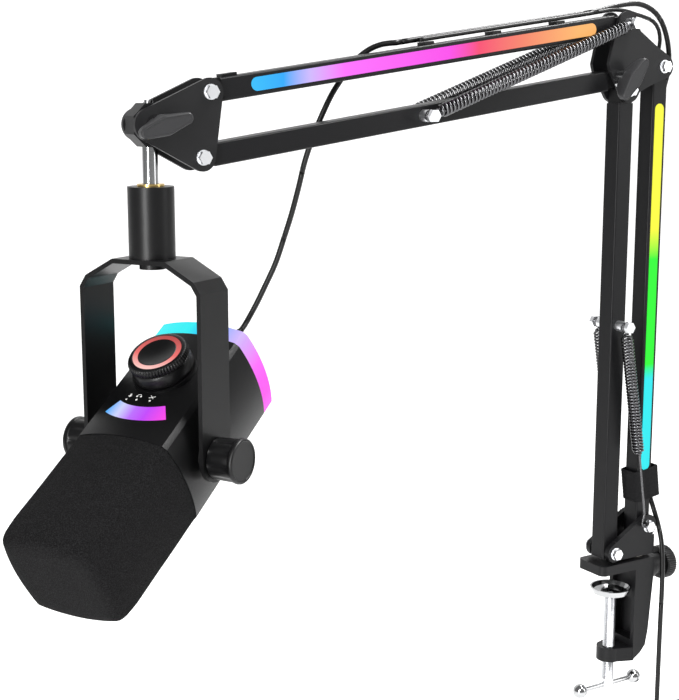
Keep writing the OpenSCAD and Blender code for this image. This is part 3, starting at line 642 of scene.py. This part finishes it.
def make_icons():
    """Three small generic marks by the dial, each over a dot: a stem, two cups and a cross."""
    def mark(name, cx, cy, polys):
        verts, faces = [], []
        for poly in polys:
            base = len(verts)
            for lift in (0.12, -0.1):
                verts += [MIC @ (Vector((cx + x, cy + y, top_of_mic(cx + x) + lift)) * MM)
                          for x, y in poly]
            n = len(poly)
            faces.append(tuple(base + k for k in range(n)))
            faces.append(tuple(base + 2 * n - 1 - k for k in range(n)))
            faces += [(base + k, base + n + k, base + n + (k + 1) % n, base + (k + 1) % n)
                      for k in range(n)]
        add_object(name, mesh_of(name, verts, faces), "icon", "microphone")

    def disc(x, y, r, n=14):
        angles = [2 * math.pi * k / n for k in range(n)]
        return [(x + r * math.cos(a), y + r * math.sin(a)) for a in angles]

    def bow(x, y, r, a0, a1, width, n=12):
        angles = [math.radians(a0 + (a1 - a0) * k / n) for k in range(n + 1)]
        outer = [(x + r * math.cos(a), y + r * math.sin(a)) for a in angles]
        inner = r - width
        return outer + [(x + inner * math.cos(a), y + inner * math.sin(a)) for a in reversed(angles)]

    def bar(x0, y0, x1, y1, w):
        d = math.hypot(x1 - x0, y1 - y0)
        nx, ny = -(y1 - y0) / d * w / 2, (x1 - x0) / d * w / 2
        return [(x0 + nx, y0 + ny), (x0 - nx, y0 - ny), (x1 - nx, y1 - ny), (x1 + nx, y1 + ny)]

    mark("icon_stem", -13, 9, [bar(0.3, 0.2, 0.9, 2.6, 1.1), bow(0.5, 1.2, 1.4, 190, 350, 0.3),
                               disc(-0.6, -2.6, 0.6)])
    mark("icon_cups", -5, 9, [bow(0, 0.6, 1.9, 10, 170, 0.35), disc(-1.6, 0.5, 0.65),
                              disc(1.6, 0.5, 0.65), disc(-0.2, -2.6, 0.8)])
    mark("icon_cross", 5, 9.7, [bar(-2.0, -0.6, 2.2, 1.6, 0.4), bar(-1.4, 1.7, 1.4, -0.7, 0.4),
                                disc(0, -2.8, 0.75)])


# ---- hardware ----

def make_lock_knob():
    """Knurled hand knob on the clamp's side."""
    place = Matrix.Translation((0, 0, -0.005)) @ Matrix.Rotation(math.pi / 2, 4, "Y")
    profile = [(0.4, 29), (3, 29.2), (3, 42.3), (8.5, 42.3), (9, 42.8), (9, 51.4), (10.5, 51.5),
               (13.0, 51.8), (13.8, 52.6), (14, 53.6), (14, 57), (14, 60.2), (13.6, 61.3),
               (12.8, 61.8), (11.6, 61.9), (11.2, 61.4), (5, 61.2), (0.4, 61.2)]
    ridges = 46

    def wave(i, a):
        return 1 - 0.035 * (0.5 + 0.5 * math.cos(ridges * a)) if 8 <= i <= 12 else 1.0

    mesh = revolve("lock_knob", profile, place, ridges * 6, wave)
    knob = add_object("lock_hand_knob", mesh, "plastic", "lock",
                      ("lock_knob",))
    smooth(knob, 40)


def make_screw():
    """The clamp screw with its rolled thread and a plain end for the tommy bar."""
    pitch, sides, depth, root = 1.5, 36, 0.75, 5.0
    low, high = -110.0, -24.8
    bar_clear = -97.0  # the plain end below this carries the tommy bar
    heights = [low, low + 0.3] + list(np.arange(low + 0.6, high - 0.2, pitch / 8)) + [high]
    rings = []
    for h in heights:
        ring = []
        for k in range(sides):
            a = 2 * math.pi * k / sides
            phase = (h / pitch - k / sides) % 1.0
            cut = depth * (1 - abs(2 * phase - 1)) if h > bar_clear else 0.0
            r = root - cut - (0.6 if h in (low, high) else 0)
            ring.append(Vector((r * math.cos(a), r * math.sin(a), h)) * MM)
        rings.append(ring)
    mesh = loft("clamp_screw", rings)
    obj = add_object("clamp_screw_thread", mesh, "steel", "screw", ("clamp_screw",))
    smooth(obj, 50)


def lozenge(length, tip, waist, steps=8):
    """A long hexagonal outline with rounded tips and waists, always of 4 * (steps + 1) points."""
    d = length / 2
    lean = math.asin((waist - tip) / math.hypot(d, 0.3))
    side = math.degrees(math.atan2(0.3, d)) + math.degrees(lean)
    pts = []
    for cx, cz, r, lo, hi in ((d, 0, tip, -90 + side, 90 - side), (0, 0.3, waist, 90 - side, 90 + side),
                              (-d, 0, tip, 90 + side, 270 - side),
                              (0, -0.3, waist, 270 - side, 270 + side)):
        for k in range(steps + 1):
            a = math.radians(lo + (hi - lo) * k / steps)
            pts.append((cx + r * math.cos(a), cz + r * math.sin(a)))
    return pts


def make_lever(name, pivot, turn, body, node):
    """Clamping lever: a tapered handle with a chamfered face round a shallow panel, on a round hub."""
    at = Matrix.Translation(Vector((pivot[0], 0, pivot[1])) * MM)
    place = at @ Matrix.Rotation(-math.radians(turn), 4, "Y")
    layers = [(-15.8, 17, 3.4, 6.4), (-17.5, 20, 3.6, 6.6), (-20.0, 25, 3.7, 6.4),
              (-22.5, 28.6, 3.7, 6.1), (-27.6, 29.6, 3.7, 6.0), (-28.5, 29.6, 3.3, 5.6),
              (-29.0, 29.6, 2.8, 5.1), (-29.0, 29.6, 2.3, 4.6), (-28.7, 29.6, 2.1, 4.4),
              (-28.7, 28, 1.0, 2.6),
              (-28.7, 26, 0.3, 0.9)]
    rings = [[place @ (Vector((x, y, z)) * MM) for x, z in lozenge(*shape)] for y, *shape in layers]
    mesh = loft(name, [list(reversed(ring)) for ring in rings])
    handle = add_object(name, mesh, "lever", body, (node,))
    smooth(handle, 24)
    hub = [(0.4, -20), (7, -20), (7, -11.4), (6.5, -10.9), (2.5, -10.9), (2.5, 11.3),
           (4.3, 11.3), (4.6, 11.7), (4.6, 15.1), (4.2, 15.6), (2.4, 15.6), (2.3, 16.2), (0.4, 16.2)]
    axis = place @ Matrix.Rotation(-math.pi / 2, 4, "X")

    def wave(i, a):
        if not 6 <= i <= 9:
            return 1.0
        flat = (a + math.pi / 6) % (math.pi / 3) - math.pi / 6
        return math.cos(math.pi / 6) / math.cos(flat)

    mesh = revolve(name + "_screw", hub, axis, 72, wave)
    pin = add_object(name + "_screw", mesh, "chrome", body)
    smooth(pin, 30)


def make_strap():
    """The woven strap with hemmed edges, tight round the rear tube and the cable."""
    lean = Matrix.Rotation(math.radians(-8), 4, "Y")
    place = Matrix.Translation((B2[0] * MM, 0, 0.069)) @ lean
    x0, x1, half_y, r = -10.6, 16.0, 9.2, 3.0
    corners = [(x1 - r, half_y - r, 0), (x0 + r, half_y - r, 90), (x0 + r, -half_y + r, 180),
               (x1 - r, -half_y + r, 270)]
    loop = []
    for cx, cy, a0 in corners:
        angles = [math.radians(a0 + 90 * k / 8) for k in range(9)]
        loop += [(cx + r * math.cos(a), cy + r * math.sin(a)) for a in angles]
    path = spline([(x, y, 0) for x, y in loop + loop[:1]], 0.8)[:-1]
    n = len(path)
    hem = [(10.6, -0.1), (11.0, 0.12), (12.7, 0), (13, -0.5)]
    weave = [(z, 0.08 * math.sin(z * 2.2)) for z in np.arange(-10, 10.1, 0.8)]
    across = [(-z, d) for z, d in reversed(hem)] + weave + hem
    section = across + [(z, -1.1) for z, d in reversed(across)]
    rings = []
    for i, q in enumerate(path):
        ahead, behind = path[(i + 1) % n], path[i - 1]
        t = Vector((ahead[0] - behind[0], ahead[1] - behind[1], 0)).normalized()
        out = Vector((t.y, -t.x, 0))
        ripple = 0.06 * math.sin(i * 1.9)
        ring = [Vector(q) + out * (d + (ripple if d > -1 else 0)) + Vector((0, 0, z))
                for z, d in section]
        rings.append([place @ (v * MM) for v in ring])
    verts = [v for ring in rings for v in ring]
    m = len(section)
    faces = [(i * m + k, i * m + (k + 1) % m, ((i + 1) % n) * m + (k + 1) % m, ((i + 1) % n) * m + k)
             for i in range(n) for k in range(m)]
    mesh = mesh_of("strap", verts, faces)
    obj = add_object("cable_strap_woven", mesh, "strap", "lower_rear", ("cable_strap",))
    smooth(obj, 60)


make_windscreen()
make_gain_knob()
make_yoke_knob("left", -1)
make_yoke_knob("right", 1)
make_icons()
make_lock_knob()
make_screw()
make_lever("knee_handle", P2, 54, "knee_lock", "knee_lever")
make_lever("head_handle", J, 17.5, "head_lock", "head_lever")
make_strap()


# ---- stage ----

def make_stage():
    mesh = bpy.data.meshes.new("floor")
    s = 8.0
    z = -0.30
    rows = [(y, z) for y in (-s, 2.0)] + [
        (2.0 + 1.5 * math.sin(a), z + 1.5 * (1 - math.cos(a)))
        for a in np.linspace(0.1, math.pi / 2, 12)
    ] + [(3.5, 6.0)]
    turn = Matrix.Rotation(-VIEW_YAW, 3, "Z")
    verts = [turn @ Vector((x, y, zz)) for y, zz in rows for x in (-s, s)]
    faces = [(2 * i, 2 * i + 1, 2 * i + 3, 2 * i + 2) for i in range(len(rows) - 1)]
    mesh.from_pydata(verts, [], faces)
    mesh.polygons.foreach_set("use_smooth", [True] * len(faces))
    floor = bpy.data.objects.new("floor", mesh)
    bpy.context.scene.collection.objects.link(floor)
    pale = plain("floor", (0.80, 0.80, 0.80), 0.9)
    bsdf = pale.node_tree.nodes["Principled BSDF"]
    bsdf.inputs["Emission Color"].default_value = (1, 1, 1, 1)
    bsdf.inputs["Emission Strength"].default_value = 0.45
    mesh.materials.append(pale)


def area_light(name, at, target, size, power):
    data = bpy.data.lights.new(name, "AREA")
    data.shape = "RECTANGLE"
    data.size, data.size_y = size
    data.energy = power
    lamp = bpy.data.objects.new(name, data)
    bpy.context.scene.collection.objects.link(lamp)
    lamp.location = at
    lamp.rotation_mode = "QUATERNION"
    lamp.rotation_quaternion = (Vector(target) - Vector(at)).to_track_quat("-Z", "Y")


def make_light():
    world = bpy.data.worlds.new("world")
    bpy.context.scene.world = world
    world.use_nodes = True
    world.node_tree.nodes["Background"].inputs["Color"].default_value = (1, 1, 1, 1)
    world.node_tree.nodes["Background"].inputs["Strength"].default_value = 0.30
    area_light("key", (-1.6, -1.4, 1.8), (-0.15, 0, 0.25), (1.0, 1.0), 26)
    area_light("fill", (1.4, -1.6, 0.9), (-0.1, 0, 0.2), (0.8, 1.6), 14)
    area_light("top_strip", (0.55, -0.25, 1.75), (-0.15, 0, 0.3), (2.2, 0.2), 60)
    area_light("side_strip", (-1.75, -0.95, 0.15), (-0.1, 0, 0.2), (0.16, 1.8), 50)
    bpy.context.scene.view_settings.view_transform = "Standard"


make_stage()
make_light()
